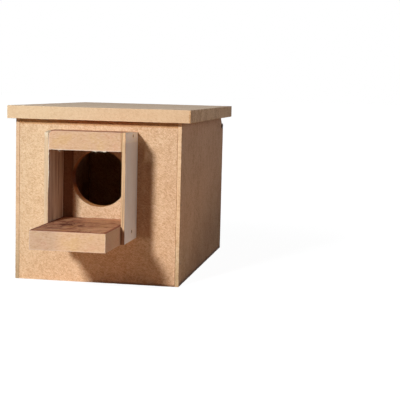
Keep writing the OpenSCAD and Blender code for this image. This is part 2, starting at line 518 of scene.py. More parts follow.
@dataclass(frozen=True)
class SawnBeech(Finish):
    """Bare beech, its grain along X: pinkish edges with ray flecks, and a redder rough-sawn upper face.

    Grain and figure are noise drawn out along X, the figure bent by itself. Flecks are short dark dashes.
    The colour wanders between a pink and a yellow tone, and the arrises are rubbed pale, partly as wear and partly
    as a painted highlight.
    """

    side: Tone = (0.75, 0.464, 0.275)
    upper: Tone = (0.735, 0.372, 0.195)
    dark: Tone = (0.66, 0.47, 0.38)
    pale: Tone = (0.84, 0.61, 0.46)
    crown: Tone = (0.71, 0.50, 0.44)
    pink: Tone = (1.0, 0.93, 0.95)
    yellow: Tone = (1.0, 1.0, 0.88)
    stain: Tone = (0.50, 0.35, 0.30)
    figure: float = 1.0
    rubbed: float = 0.5
    stains: tuple[Torn, ...] = ()
    figure_form: Pattern = Pattern((26.0, 8.0, 8.0), detail=3, rough=0.6, warp=1.6)
    grain_form: Pattern = Pattern((9.0, 0.9, 0.9), detail=3, rough=0.65)
    fleck_form: Pattern = Pattern((2.2, 0.8, 0.8), rough=0.6)
    blotch_form: Pattern = Pattern(size=9, detail=3, rough=0.6, warp=0.8)
    wander_form: Pattern = Pattern(size=14)
    soak_form: Pattern = Pattern((5.0, 12.0, 5.0), detail=4, rough=0.7, warp=0.6)

    def paint(self, tree: Nodes, place: Link) -> None:
        """Adds the nodes.

        Args:
            tree: The material's nodes.
            place: The point's place in the endless patterns.
        """
        top = tree.attribute("upper")
        upper = top.smooth(0.4, 0.6) * self.figure
        arris = tree.attribute("arris")
        figure, grain, fleck = tree.noise(place, self.figure_form, self.grain_form, self.fleck_form)
        blotch, wander, soak = tree.noise(place, self.blotch_form, self.wander_form, self.soak_form)
        base = tree.tint(
            tree.blend(upper, self.side, self.upper),
            (wander.smooth(0.5, 0.3), self.pink),
            (wander.smooth(0.5, 0.7), self.yellow),
            (grain.smooth(0.55, 0.25) * (0.36 + upper * 0.3), self.dark),
            (fleck.smooth(0.48, 0.28) * (0.42 + upper * 0.2), self.dark),
        )
        base = tree.blend(fleck.smooth(0.52, 0.72) * (1 - upper) * 0.35, base, self.pale)
        base = tree.tint(
            base,
            (figure.smooth(0.56, 0.40) * upper * 0.75, self.dark),
            (blotch.smooth(0.46, 0.30) * upper * 0.9, self.dark),
        )
        soaked = soak.smooth(0.44, 0.56) * 0.8 + 0.2
        for spot in self.stains:
            reach = tree.gap_mm(spot.middle).smooth(spot.reach_mm * 1.3, spot.reach_mm * 0.3)
            base = tree.tint(base, (reach * soaked * upper * spot.strength, self.stain))
        rub = arris.smooth(1.0, 0.2)
        crest = top.smooth(0.0, 0.45)
        # Pale arrises: partly wear, partly a painted highlight.
        base = tree.blend(rub * (1 - crest) * self.rubbed, base, self.pale)
        near = arris.smooth(3.5, 1.0) * self.figure + (1 - self.figure)
        base = self.shaded_and_tinted(tree, tree.tint(base, (near * crest, self.crown)))
        height = grain * 0.12 + fleck * 0.06
        tree.surface(base, 0.78 - fleck * 0.1, (height, 0.7), Specular_IOR_Level=0.35)


@dataclass(frozen=True)
class PaleStrip(Finish):
    """A thin strip: a smooth pale face outside, a ribbed brown one inside, and paler torn places.

    The outer face lies at outer along X, and all that is skin_mm or more behind it counts as inside.
    """

    face: Tone = (0.95, 0.92, 0.89)
    inner: Tone = (0.87, 0.70, 0.55)
    edge: Tone = (0.79, 0.565, 0.355)
    dark: Tone = (0.84, 0.75, 0.67)
    rib: Tone = (0.52, 0.42, 0.38)
    torn: Tone = (0.86, 0.70, 0.50)
    edge_lines: float = 0.1
    outer: float = 0.0
    skin_mm: tuple[float, float] = (1.2, 2.4)
    places: tuple[Torn, ...] = ()
    grain_form: Pattern = Pattern((1.4, 1.4, 60.0), detail=3, rough=0.6)
    cloud_form: Pattern = Pattern(size=16)
    grit_form: Pattern = Pattern(size=1.2, detail=3, rough=0.7)
    rib_form: Pattern = Pattern((1.0, 3.6, 90.0), detail=3, rough=0.7)
    line_form: Pattern = Pattern((0.8, 0.8, 70.0), rough=0.6)

    def paint(self, tree: Nodes, place: Link) -> None:
        """Adds the nodes.

        Args:
            tree: The material's nodes.
            place: The point's place in the endless patterns.
        """
        cut = tree.attribute("cut").smooth(*FACE_STEP)
        arris = tree.attribute("arris")
        grain, cloud, grit = tree.noise(place, self.grain_form, self.cloud_form, self.grit_form)
        ribs, lines = tree.noise(place, self.rib_form, self.line_form)
        away = (tree.lean(tree.coords(), (1, 0, 0)) - self.outer) * (1 / MM)
        inside = away.most(away * -1).smooth(*self.skin_mm)
        fine = arris.smooth(0.5, 0.1)
        base = tree.blend(inside, self.face, self.inner)
        base = tree.blend(cut, tree.tint(base, (inside * ribs.smooth(0.60, 0.36), self.rib)), self.edge)
        base = tree.tint(
            base,
            (cut * lines.smooth(0.54, 0.36) * self.edge_lines, self.rib),
            (grain.smooth(0.62, 0.35) * 0.15 + cloud.smooth(0.6, 0.35) * 0.15, self.dark),
            (grit.smooth(0.46, 0.3) * (0.15 + cut * 0.6), self.dark),
            (arris.smooth(0.7, 0.1) * (1 - cut) * 0.4, self.dark),
            (fine * cut * self.edge_lines, self.dark),
        )
        for spot in self.places:
            skin = tree.gap_mm(spot.middle).smooth(spot.reach_mm * 1.3, spot.reach_mm * 0.7)
            base = tree.blend(skin * grit.smooth(0.25, 0.5) * spot.strength, base, self.torn)
        height = grain * 0.06 + grit * 0.04 + ribs * inside * 0.12
        rough = 0.45 + inside * 0.3 + cut * 0.2 + fine * 0.3
        tree.surface(self.shaded_and_tinted(tree, base), rough, (height, 0.6), Specular_IOR_Level=0.9)


@dataclass(frozen=True)
class TornFibre(Finish):
    """Freshly torn wood fibre: nearly white, streaked along its length."""

    pale: Tone = (0.90, 0.79, 0.64)
    streak: Tone = (0.76, 0.56, 0.38)
    streak_form: Pattern = Pattern((1.6, 0.4, 1.6), rough=0.6)

    def paint(self, tree: Nodes, place: Link) -> None:
        """Adds the nodes.

        Args:
            tree: The material's nodes.
            place: The point's place in the endless patterns.
        """
        (streak,) = tree.noise(place, self.streak_form)
        base = tree.blend(streak.smooth(0.56, 0.36) * 0.7, self.pale, self.streak)
        tree.surface(base, 0.8, (streak * 0.05, 0.6), Specular_IOR_Level=0.3)


@dataclass(frozen=True)
class KnottyPine(Finish):
    """Planed pine along X: amber growth bands and a few small dark knots."""

    early: Tone = (0.80, 0.53, 0.26)
    late: Tone = (0.55, 0.27, 0.08)
    knot: Tone = (0.20, 0.08, 0.03)
    pore: Tone = (0.80, 0.66, 0.50)
    knot_drawn: Point = (1.8, 1.0, 1.0)
    knot_gap_mm: float = 22
    sway_form: Pattern = Pattern((60.0, 12.0, 12.0))
    band_form: Pattern = Pattern((160.0, 2.6, 3.4), rough=0.4, turn=(0, 0, 0.02))
    pore_form: Pattern = Pattern((12.0, 0.5, 0.5), rough=0.6)

    def paint(self, tree: Nodes, place: Link) -> None:
        """Adds the nodes.

        Args:
            tree: The material's nodes.
            place: The point's place in the endless patterns.
        """
        sway, bands, pores = tree.noise(place, self.sway_form, self.band_form, self.pore_form)
        knots = tree.cells(tree.stretch(place, self.knot_drawn), self.knot_gap_mm)
        base = tree.blend(bands.smooth(0.42, 0.62) * (0.55 + sway * 0.5), self.early, self.late)
        base = tree.tint(base, (pores.smooth(0.5, 0.3) * 0.4, self.pore))
        base = tree.blend(knots.smooth(0.16, 0.07), base, self.knot)
        tree.surface(base, 0.62, (bands * 0.06 + pores * 0.04, 0.6), Specular_IOR_Level=0.4)


@dataclass(frozen=True)
class DullSteel(Finish):
    """Drawn wire and struck heads: dark steel with rust-brown bloom and fine scratches."""

    bright: Tone = (0.24, 0.21, 0.19)
    bloom: Tone = (0.12, 0.06, 0.04)
    bloom_form: Pattern = Pattern(size=1.6, detail=3, rough=0.6)
    scratch_form: Pattern = Pattern((2.0, 0.2, 0.2), turn=(0.3, 0.8, 0.2))

    def paint(self, tree: Nodes, place: Link) -> None:
        """Adds the nodes.

        Args:
            tree: The material's nodes.
            place: The point's place in the endless patterns.
        """
        bloom, scratch = tree.noise(place, self.bloom_form, self.scratch_form)
        rust = bloom.smooth(0.45, 0.60)
        height = scratch * 0.02 + bloom * 0.02
        base = tree.blend(rust, self.bright, self.bloom)
        tree.surface(base, 0.42 + rust * 0.4, (height, 0.5), Metallic=1.0 - rust * 0.7)


# ---------------------------------------------------------------- surfaces


def ripple(points: np.ndarray, wavelength: float, seed: int, waves: int = 9) -> np.ndarray:
    """A smooth random field, about -1 to 1.

    It is the mean, times RIPPLE_GAIN, of sine waves whose directions, lengths near the wavelength and phases
    are drawn from the seed.

    Args:
        points: Places, with x, y and z last.
        wavelength: The typical wave's length.
        seed: Picks the waves.
        waves: How many waves are summed.

    Returns:
        The field at each place.
    """
    rng = np.random.default_rng(seed)
    course = rng.normal(size=(waves, 3))
    course /= np.linalg.norm(course, axis=1, keepdims=True)
    length = wavelength * rng.uniform(*LENGTH_SPREAD, waves)
    phase = rng.uniform(0, 2 * np.pi, waves)
    return np.sin(points @ (course * (2 * np.pi / length)[:, None]).T + phase).mean(-1) * RIPPLE_GAIN


def spread(low: float, high: float, radius: float, step: float) -> np.ndarray:
    """Stations from low to high: close together within three radii of each end, then at most a step apart.

    Args:
        low: The first station.
        high: The last station.
        radius: The rounding radius that the close stations serve.
        step: The widest spacing.

    Returns:
        The stations in order.
    """
    near = radius * np.array(CLOSE_STATIONS)
    count = max(2, math.ceil((high - low - 2 * near[-1]) / step) + 1)
    inner = np.linspace(low + near[-1], high - near[-1], count)
    return np.concatenate([low + near[:-1], inner, (high - near[:-1])[::-1]])


def patch(sheet: np.ndarray, flip: bool) -> np.ndarray:
    """The quads of a grid of vertex numbers, turned over if flip."""
    quads = np.stack([sheet[:-1, :-1], sheet[1:, :-1], sheet[1:, 1:], sheet[:-1, 1:]], -1).reshape(-1, 4)
    return quads[:, ::-1] if flip else quads


def nearer(first: np.ndarray, second: np.ndarray) -> np.ndarray:
    """1 where the second distance is the smaller by half a millimetre or more, 0 where the first one is."""
    return 0.5 + np.clip((first - second) / MM, -0.5, 0.5)


@dataclass
class Shell:
    """A closed surface as arrays: points, faces of three or four corners, and numbers on the points."""

    points: np.ndarray
    faces: list[np.ndarray]
    marks: dict[str, np.ndarray]

    def to_object(self, name: str) -> bpy.types.Object:
        """Puts the arrays into a smooth-shaded mesh object at the origin.

        Args:
            name: The piece's name.

        Returns:
            The object, in the scene.
        """
        mesh = bpy.data.meshes.new(name)
        corners = np.concatenate([face.ravel() for face in self.faces])
        totals = np.concatenate([np.full(len(face), face.shape[1]) for face in self.faces])
        mesh.vertices.add(len(self.points))
        mesh.vertices.foreach_set("co", self.points.astype(np.float32).ravel())
        mesh.loops.add(len(corners))
        mesh.loops.foreach_set("vertex_index", corners.astype(np.int32))
        mesh.polygons.add(len(totals))
        mesh.polygons.foreach_set("loop_start", (np.cumsum(totals) - totals).astype(np.int32))
        mesh.polygons.foreach_set("loop_total", totals.astype(np.int32))
        mesh.polygons.foreach_set("use_smooth", np.ones(len(totals), bool))
        for mark, numbers in self.marks.items():
            layer = mesh.attributes.new(mark, "FLOAT", "POINT")
            layer.data.foreach_set("value", numbers.astype(np.float32))
        mesh.update(calc_edges=True)
        mesh.validate()
        piece = bpy.data.objects.new(name, mesh)
        bpy.context.scene.collection.objects.link(piece)
        return piece


def joined(shells: list[Shell]) -> Shell:
    """Several shells without marks as one.

    Args:
        shells: The shells, in the order in which their points follow.

    Returns:
        The one shell.
    """
    starts = np.cumsum([0] + [len(shell.points) for shell in shells])
    faces = [face + start for shell, start in zip(shells, starts) for face in shell.faces]
    return Shell(np.concatenate([shell.points for shell in shells]), faces, {})


@dataclass(frozen=True)
class Knock:
    """A bruise on an edge: its middle, how much it adds to the rounding there, and how far it reaches."""

    middle: Point
    depth: float
    reach: float


@dataclass(frozen=True)
class Arris:
    """How the edges of a board are rubbed.

    The rounding radius is the plain radius times one plus a long and a short random wave, plus a bell
    depth * exp(-(distance/reach)^2) for each knock. It stays above the least share of the plain radius.
    A knock has at least the faintest share of the full depth.
    """

    radius: float = 0.45 * MM
    wear: float = 0.45
    wear_length: float = 16 * MM
    fray: float = 0.3
    fray_length: float = 3.5 * MM
    knocks: int = 16
    knock_depth: float = 0.7 * MM
    knock_reach: float = 1.6 * MM
    least: float = 0.15
    faintest: float = 0.3

    def radii(self, points: np.ndarray, seed: int, knocks: list[Knock]) -> np.ndarray:
        """The rounding radius at each point.

        Args:
            points: Places on the board.
            seed: Picks the waves.
            knocks: The bruises.

        Returns:
            One radius for each point, not yet held within the board's thickness.
        """
        long_wave = self.wear * ripple(points, self.wear_length, seed)
        short_wave = self.fray * ripple(points, self.fray_length, seed + SHORT_FIELD)
        radius = self.radius * (1 + long_wave + short_wave)
        for knock in knocks:
            gap = np.linalg.norm(points - np.array(knock.middle), axis=-1)
            radius = radius + knock.depth * np.exp(-((gap / knock.reach) ** 2))
        return np.maximum(radius, self.least * self.radius)

    def scatter(self, low: np.ndarray, high: np.ndarray, seed: int) -> list[Knock]:
        """Bruises of random depth on random edges of a box.

        Args:
            low: The box's lowest corner.
            high: Its highest corner.
            seed: Picks the places.

        Returns:
            The bruises.
        """
        rng = np.random.default_rng(seed)
        spots = rng.uniform(low, high, (self.knocks, 3))
        along = rng.integers(0, 3, self.knocks)
        ends = np.where(rng.random((self.knocks, 3)) < 0.5, low, high)
        spots = np.where(along[:, None] == np.arange(3), spots, ends)
        depths = self.knock_depth * rng.uniform(self.faintest, 1.0, self.knocks)
        return [Knock(tuple(spot), depth, self.knock_reach) for spot, depth in zip(spots, depths)]


@dataclass(frozen=True)
class Sink:
    """How far a board's faces lie sunk: depth times middle, plus a random wave of depth times swing."""

    depth: float = 0.12 * MM
    length: float = 60 * MM
    middle: float = 0.5
    swing: float = 0.4

    def depths(self, points: np.ndarray, seed: int) -> np.ndarray:
        """How far each point sinks if it lies on a face; never below 0."""
        wave = np.clip(ripple(points, self.length, seed + FACE_FIELD), -1, 1)
        return self.depth * (self.middle + self.swing * wave)


@dataclass
class Board:
    """A sawn board with rubbed edges.

    Its surface is the point lattice of a box, drawn onto a rounded box: each point goes to its nearest
    point of the core, plus the rounding radius along the way between them. The faces sink by a shallow
    ripple, never out of the box. The top sinks further by rear_drop towards the rear, in proportion to depth
    and to height, and by front_drop at the front, in proportion to height^8 * (1 - depth)^4.
    """

    low: np.ndarray
    high: np.ndarray
    flat: Axis
    seed: int
    arris: Arris = Arris()
    step: float = 2.2 * MM
    sink: Sink = Sink()
    rear_drop: float = 0.0
    front_drop: float = 0.0
    knocks: tuple[Knock, ...] = ()

    def shell(self) -> Shell:
        """Computes the surface and its marks.

        Returns:
            The closed shell.
        """
        near = self.arris.radius
        stations = [spread(self.low[i], self.high[i], near, self.step) for i in range(3)]
        counts = [len(s) for s in stations]
        grid = np.arange(np.prod(counts)).reshape(counts)
        sides = [patch(grid[0], True), patch(grid[-1], False), patch(grid[:, 0], False)]
        sides += [patch(grid[:, -1], True), patch(grid[:, :, 0], True), patch(grid[:, :, -1], False)]
        used, quads = np.unique(np.concatenate(sides), return_inverse=True)
        index = np.unravel_index(used, counts)
        lattice = np.stack([stations[i][index[i]] for i in range(3)], -1)
        return Shell(self._rounded(lattice), [quads.reshape(-1, 4)], self._marks(lattice))

    def _marks(self, points: np.ndarray) -> dict[str, np.ndarray]:
        """Distance to the nearest edge in mm, and 1 on the sawn edges or on the upper face.

        Args:
            points: The lattice.

        Returns:
            The marks by name.
        """
        gaps = np.minimum(points - self.low, self.high - points)
        edge = np.sort(gaps, axis=1)[:, 1] / MM
        others = np.delete(gaps, self.flat.value, axis=1).min(1)
        upper = nearer(gaps[:, :2].min(1), self.high[2] - points[:, 2])
        return {"arris": edge, "cut": nearer(gaps[:, self.flat.value], others), "upper": upper}

    def _rounded(self, points: np.ndarray) -> np.ndarray:
        """Draws the box's lattice onto the worn, rounded box.

        Args:
            points: The lattice.

        Returns:
            The drawn points.
        """
        size = self.high - self.low
        knocks = self.arris.scatter(self.low, self.high, self.seed) + list(self.knocks)
        radius = self.arris.radii(points, self.seed, knocks)
        radius = np.minimum(radius, WIDEST_RADIUS * size.min())[:, None]
        core = np.clip(points, self.low + radius, self.high - radius)
        way = points - core
        rounded = core + radius * way / np.linalg.norm(way, axis=1, keepdims=True)
        share = (rounded - self.low) / size
        rounded += self.sink.depths(points, self.seed)[:, None] * (1 - 2 * share)
        rounded[:, 2] -= self.rear_drop * share[:, 1] * share[:, 2]
        rounded[:, 2] -= self.front_drop * share[:, 2] ** 8 * (1 - share[:, 1]) ** 4
        return rounded


@dataclass
class DrilledPanel:
    """A flat panel with one round hole.

    Two parameters: one runs round the outline and, in step with it, round the hole. The other runs along a
    closed profile from the hole's wall over the front face, the outer edge and the back face to the wall
    again. The rounding grows away from the corners by corner_slope at most, so that rows never cross.
    """

    corners: np.ndarray
    centre: np.ndarray
    hole_radius: float
    front: float
    back: float
    axes: tuple[Axis, Axis, Axis]
    seed: int
    arris: Arris = Arris()
    rim: float = 0.4 * MM
    saw_wave: float = 0.0
    saw_length: float = 40 / 3 * MM
    step: float = 1.6 * MM
    across: int = 44
    bunching: float = 0.35
    corner_slope: float = 0.3
    corner_share: float = 0.9
    corner_room: float = 1.5
    sink: Sink = Sink()

    def _outline(self) -> tuple[np.ndarray, np.ndarray, np.ndarray]:
        """The outline with its corners rounded.

        Returns:
            Points along it, their outward normals, and which lie on a corner's small arc.
        """
        turn = self.arris.radius
        points, normals, on_arc = [], [], []
        before, after = np.roll(self.corners, 1, axis=0), np.roll(self.corners, -1, axis=0)
        for last, here, following in zip(before, self.corners, after):
            run_in = (here - last) / np.linalg.norm(here - last)
            run_out = (following - here) / np.linalg.norm(following - here)
            out_in = np.array([run_in[1], -run_in[0]])
            out_out = np.array([run_out[1], -run_out[0]])
            middle = here - turn * (out_in + out_out) / (1 + out_in @ out_out)
            bend = math.acos(np.clip(out_in @ out_out, -1, 1))
            angle = math.atan2(out_in[1], out_in[0]) + np.linspace(0, bend, ARC_STATIONS)
            arc = np.stack([np.cos(angle), np.sin(angle)], -1)
            start = middle + turn * out_out
            span = (following - start) @ run_out - turn * self.corner_room
            along = np.linspace(0, span, max(2, math.ceil(span / self.step)) + 1)[1:]
            points += [middle + turn * arc, start + along[:, None] * run_out]
            normals += [arc, np.repeat(out_out[None], len(along), 0)]
            on_arc.append(np.arange(len(arc) + len(along)) < len(arc))
        return np.concatenate(points), np.concatenate(normals), np.concatenate(on_arc)

    def _profile(self) -> tuple[np.ndarray, ...]:
        """Stations along the closed profile, in five arrays.

        The stretches are: rim arc, front face, edge arc, edge, edge arc, back face, rim arc, hole wall.

        Returns:
            Share of the outline against the rim, how far out of the rim's rounding, how far in from the edge,
            depth in radii, and share of the back against the front.
        """
        arc = np.linspace(0, np.pi / 2, ARC_STATIONS)
        rise, drop = 1 - np.sin(arc), 1 - np.cos(arc)
        even = np.linspace(0, 1, self.across + 1)[1:-1]
        bunched = 1 - self.bunching * np.sin(np.pi * even) ** 2
        face = 0.5 - 0.5 * np.cos(np.pi * even) * bunched
        wall = np.linspace(0, 1, WALL_STATIONS + 2)[1:-1]
        no_arc, no_face, no_wall = np.zeros(len(arc)), np.zeros(len(face)), np.zeros(len(wall))
        all_arc, all_face, all_wall = np.ones(len(arc)), np.ones(len(face)), np.ones(len(wall))
        share = (no_arc, face, all_arc, all_wall, all_arc, face[::-1], no_arc, no_wall)
        rim_out = (drop, all_face, no_arc, no_wall, no_arc, all_face, drop[::-1], no_wall)
        edge_in = (no_arc, all_face, drop[::-1], no_wall, drop, all_face, no_arc, no_wall)
        inward = (rise, no_face, rise[::-1], no_wall, -rise, no_face, -rise[::-1], no_wall)
        to_back = (no_arc, no_face, no_arc, wall, all_arc, all_face, all_arc, wall[::-1])
        return tuple(np.concatenate(parts) for parts in (share, rim_out, edge_in, inward, to_back))

    def _radii(self, outline: np.ndarray, on_arc: np.ndarray) -> np.ndarray:
        """The rounding radius at each point of the outline.

        Args:
            outline: The points, in the panel's plane.
            on_arc: Which of them lie on a corner's small arc.

        Returns:
            The radii, held within the panel's thickness and its corners.
        """
        lifted = self._lift(outline, np.full(len(outline), self.front))
        knocks = self.arris.scatter(lifted.min(0), lifted.max(0), self.seed)
        from_arc = np.linalg.norm(outline[:, None] - outline[on_arc], axis=-1).min(1)
        near_corner = self.corner_share * self.arris.radius + self.corner_slope * from_arc
        radius = np.minimum(self.arris.radii(lifted, self.seed, knocks), near_corner)
        return np.minimum(radius, WIDEST_RADIUS * abs(self.back - self.front))

    def shell(self) -> Shell:
        """Computes the surface and its marks.

        Returns:
            The closed shell.
        """
        outline, normal, on_arc = self._outline()
        ray = outline - self.centre
        ray /= np.linalg.norm(ray, axis=1, keepdims=True)
        share, rim_out, edge_in, inward, to_back = self._profile()
        radius = self._radii(outline, on_arc)
        local = share * radius[:, None] + (1 - share) * self.rim
        lifted = self._lift(outline, np.full(len(outline), self.front))
        saw = ripple(lifted, self.saw_length, self.seed + SAW_FIELD)
        hole = self.hole_radius + self.saw_wave * (1 + saw)
        rim = self.centre + ray[:, None] * (hole[:, None] + self.rim * rim_out)[..., None]
        edge = outline[:, None] - normal[:, None] * (radius[:, None] * edge_in)[..., None]
        plane = rim * (1 - share)[None, :, None] + edge * share[None, :, None]
        way = 1.0 if self.back > self.front else -1.0
        depth = self.front + to_back * (self.back - self.front) + way * local * inward
        points = self._lift(plane, depth)
        dip = self.sink.depths(points, self.seed) * ((rim_out == 1) | (edge_in == 1))
        points[..., self.axes[2].value] += way * np.where(to_back > 0.5, -1, 1) * dip
        grid = np.arange(depth.size).reshape(depth.shape)
        closed = np.pad(grid, ((0, 1), (0, 1)), "wrap")
        quads = patch(closed, self._turned_over(way))
        return Shell(points.reshape(-1, 3), [quads], self._marks(plane, depth, outline))

    def _marks(self, plane: np.ndarray, depth: np.ndarray, outline: np.ndarray) -> dict[str, np.ndarray]:
        """Distance to the nearest edge in mm, and 1 on the sawn edges and in the hole.

        Args:
            plane: The points' places in the panel's plane.
            depth: Their depths.
            outline: The outline point of each row.

        Returns:
            The marks by name; none of these points counts as an upper face.
        """
        to_outline = np.linalg.norm(plane - outline[:, None], axis=-1)
        to_rim = np.linalg.norm(plane - self.centre, axis=-1) - self.hole_radius
        in_plane = np.minimum(to_outline, to_rim)
        through = np.minimum(np.abs(depth - self.front), np.abs(depth - self.back))
        arris = np.maximum(in_plane, through) / MM
        cut = nearer(through, in_plane)
        return {"arris": arris.ravel(), "cut": cut.ravel(), "upper": np.zeros(cut.size)}

    def _lift(self, plane: np.ndarray, depth: np.ndarray) -> np.ndarray:
        """Places in the frame from places in the panel's plane and a depth."""
        placed = np.concatenate([plane, depth[..., None]], -1)
        return placed[..., np.argsort([axis.value for axis in self.axes])]

    def _turned_over(self, way: float) -> bool:
        """Whether the quads need turning for their normals to point out."""
        handed = tuple(axis.value for axis in self.axes) in ((0, 1, 2), (1, 2, 0), (2, 0, 1))
        return handed != (way > 0)


def capped(rings: np.ndarray, poles: np.ndarray, flip: bool) -> Shell:
    """A closed shell from rings of points and two poles.

    Args:
        rings: Points by ring, place in the ring, and coordinate.
        poles: The point before the first ring and the one after the last.
        flip: Whether the faces need turning over.

    Returns:
        The shell: quads between the rings and a fan at each pole.
    """
    count, around = rings.shape[:2]
    grid = np.arange(count * around).reshape(count, around)
    closed = np.concatenate([grid, grid[:, :1]], 1)
    head, tip = grid.size, grid.size + 1
    fan_head = np.stack([np.full(around, head), closed[0, 1:], closed[0, :-1]], -1)
    fan_tip = np.stack([np.full(around, tip), closed[-1, :-1], closed[-1, 1:]], -1)
    fans = np.concatenate([fan_head, fan_tip])
    points = np.concatenate([rings.reshape(-1, 3), poles])
    return Shell(points, [patch(closed, not flip), fans[:, ::-1] if flip else fans], {})


def lathe(centre: np.ndarray, axis: Axis, way: float, profile: np.ndarray, around: int = 20) -> Shell:
    """A turned solid: a profile of (radius, depth) carried once round an axis, its two poles closed by fans.

    Args:
        centre: The axis' point at depth 0.
        axis: Which coordinate axis it turns about.
        way: +1 where depth grows along the axis, -1 where it grows against it.
        profile: Stations between the poles; the poles lie at the first and the last depth.
        around: Points in a ring.

    Returns:
        The closed shell.
    """
    angle = np.linspace(0, 2 * np.pi, around, endpoint=False)
    first, second = [i for i in range(3) if i != axis.value]
    rings = np.zeros((len(profile), around, 3)) + centre
    rings[..., first] += profile[:, :1] * np.cos(angle)
    rings[..., second] += profile[:, :1] * np.sin(angle)
    rings[..., axis.value] += way * profile[:, 1:]
    poles = np.stack([centre, centre]).astype(float)
    poles[:, axis.value] += way * profile[[0, -1], 1]
    return capped(rings, poles, (axis is Axis.Y) == (way > 0))


def strand(path: np.ndarray, wide: np.ndarray, thin: np.ndarray, around: int = 8) -> Shell:
    """A flattened tube: point(s, a) = path(s) + cos(a) * wide(s) + sin(a) * thin(s), closed by fans.

    Args:
        path: The middle line, from root to tip.
        wide: The longer half axis at each station.
        thin: The shorter half axis at each station.
        around: Points in a ring.

    Returns:
        The closed shell.
    """
    angle = np.linspace(0, 2 * np.pi, around, endpoint=False)[None, :, None]
    rings = path[:, None] + np.cos(angle) * wide[:, None] + np.sin(angle) * thin[:, None]
    middle = len(path) // 2
    handed = np.cross(wide[middle], thin[middle]) @ (path[-1] - path[0])
    return capped(rings, path[[0, -1]], handed < 0)


# ---------------------------------------------------------------- nails and torn fibre


def node_points(node: str) -> np.ndarray:
    """All the points of a CAD node.

    Args:
        node: Its name.

    Returns:
        The points, one in a row.
    """
    mesh = frame["nodes"][node].data
    points = np.empty(len(mesh.vertices) * 3, np.float32)
    mesh.vertices.foreach_get("co", points)
    return points.reshape(-1, 3).astype(float)


def node_box(node: str) -> tuple[np.ndarray, np.ndarray]:
    """A node's lowest and highest corner as arrays."""
    low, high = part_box(node)
    return np.array(low), np.array(high)


def nails_of(node: str, axis: Axis) -> list[np.ndarray]:
    """Splits a node into its nails.

    Args:
        node: The CAD node, whose nails are all driven along one axis.
        axis: That axis.

    Returns:
        For each nail its points, which lie within NAIL_REACH of its first one across the axis.
    """
    points = node_points(node)
    across = np.delete(points, axis.value, axis=1)
    left = np.ones(len(points), bool)
    found = []
    while left.any():
        near = left & (np.linalg.norm(across - across[left][0], axis=1) < NAIL_REACH)
        found.append(points[near])
        left &= ~near
    return found


@dataclass(frozen=True)
class NailShape:
    """A wire nail: a shallow domed head with a rolled rim, a plain shank and a chisel-ground point.

    A station of the head has its radius in head radii, and its depth as shares of the dome's height and of
    the head's thickness. One of the shank has its radius in shank radii, and its depth as shares of the
    head's thickness, of the depth where the point begins and of the length.
    """

    dome: float = 0.12 * MM
    head: tuple[Point, ...] = (
        (0.35, 0, 0),
        (0.72, 0.35, 0),
        (0.93, 1, 0),
        (1, 1, 0.18),
        (1, 0, 0.8),
        (0.9, 0, 1),
    )
    shank: tuple[Span, ...] = ((1, 1.05, 0, 0), (1, 0, 1, 0), (0.6, 0, 0.5, 0.5), (0.15, 0, 0, 1))
    rim_share: float = 0.95
    least_shank: float = 0.3
    point_radii: float = 3.2
    tolerance: float = 0.05 * MM

    def shell(self, points: np.ndarray, axis: Axis) -> Shell:
        """Fits the shape to one CAD nail.

        Args:
            points: The CAD nail's points.
            axis: Its axis.

        Returns:
            The turned nail, its head where the CAD head is.
        """
        along = points[:, axis.value]
        across = np.delete(points, axis.value, axis=1)
        middle = (across.min(0) + across.max(0)) / 2
        far = np.linalg.norm(across - middle, axis=1)
        head_radius = far.max()
        head_side = along[far > self.rim_share * head_radius]
        face, tip = sorted((along.max(), along.min()), key=lambda end: abs(head_side.mean() - end))
        way = 1.0 if tip > face else -1.0
        thick = head_side.max() - head_side.min()
        under_head = np.abs(along - (face + way * thick)) < self.tolerance
        shank_radius = max(far[under_head].min() if thick else head_radius, self.least_shank * head_radius)
        length = abs(tip - face)
        depths = (thick, length - self.point_radii * shank_radius, length)
        head, shank = np.array(self.head), np.array(self.shank)
        head = np.stack([head[:, 0] * head_radius, head[:, 1:] @ (self.dome, thick)], -1)
        shank = np.stack([shank[:, 0] * shank_radius, shank[:, 1:] @ depths], -1)
        return lathe(np.insert(middle, axis.value, face), axis, way, np.concatenate([head, shank]))


@dataclass(frozen=True)
class Lip:
    """A ragged lip of torn fibre that stands out from an edge.

    It is a flattened strand along the edge. Its width is the sum of bells height * exp(-(distance/reach)^2)
    along the edge, times one plus two random waves, and it grows from the edge along hang. A third wave
    carries it out of its plane, in half thicknesses. A wave is its strength and its length.
    """

    start: Point
    stop: Point
    hang: Point
    bells: tuple[Point, ...]
    seed: int
    waves: tuple[tuple[float, float], ...] = ((0.45, 3.2 * MM), (0.4, 1.2 * MM), (1.5, 4 * MM))
    root: float = 0.25 * MM
    thick: float = 0.22 * MM
    step: float = 0.3 * MM

    def shell(self) -> Shell:
        """Computes the lip.

        Returns:
            The closed shell.
        """
        start, stop, hang = (np.array(v) for v in (self.start, self.stop, self.hang))
        run = np.linalg.norm(stop - start)
        along = np.linspace(0, run, math.ceil(run / self.step))
        edge = start + along[:, None] * (stop - start) / run
        width = sum(height * np.exp(-(((along - place) / reach) ** 2)) for place, height, reach in self.bells)
        long_rag, short_rag, sway = (
            strength * ripple(edge, length, self.seed + field)
            for field, (strength, length) in enumerate(self.waves)
        )
        half = (np.maximum(width * (1 + long_rag + short_rag), 0.0) + self.root) / 2
        across = np.cross((stop - start) / run, hang) * self.thick / 2
        path = edge + hang * (half - self.root)[:, None] + across * sway[:, None]
        return strand(path, hang * half[:, None], np.broadcast_to(across, edge.shape))


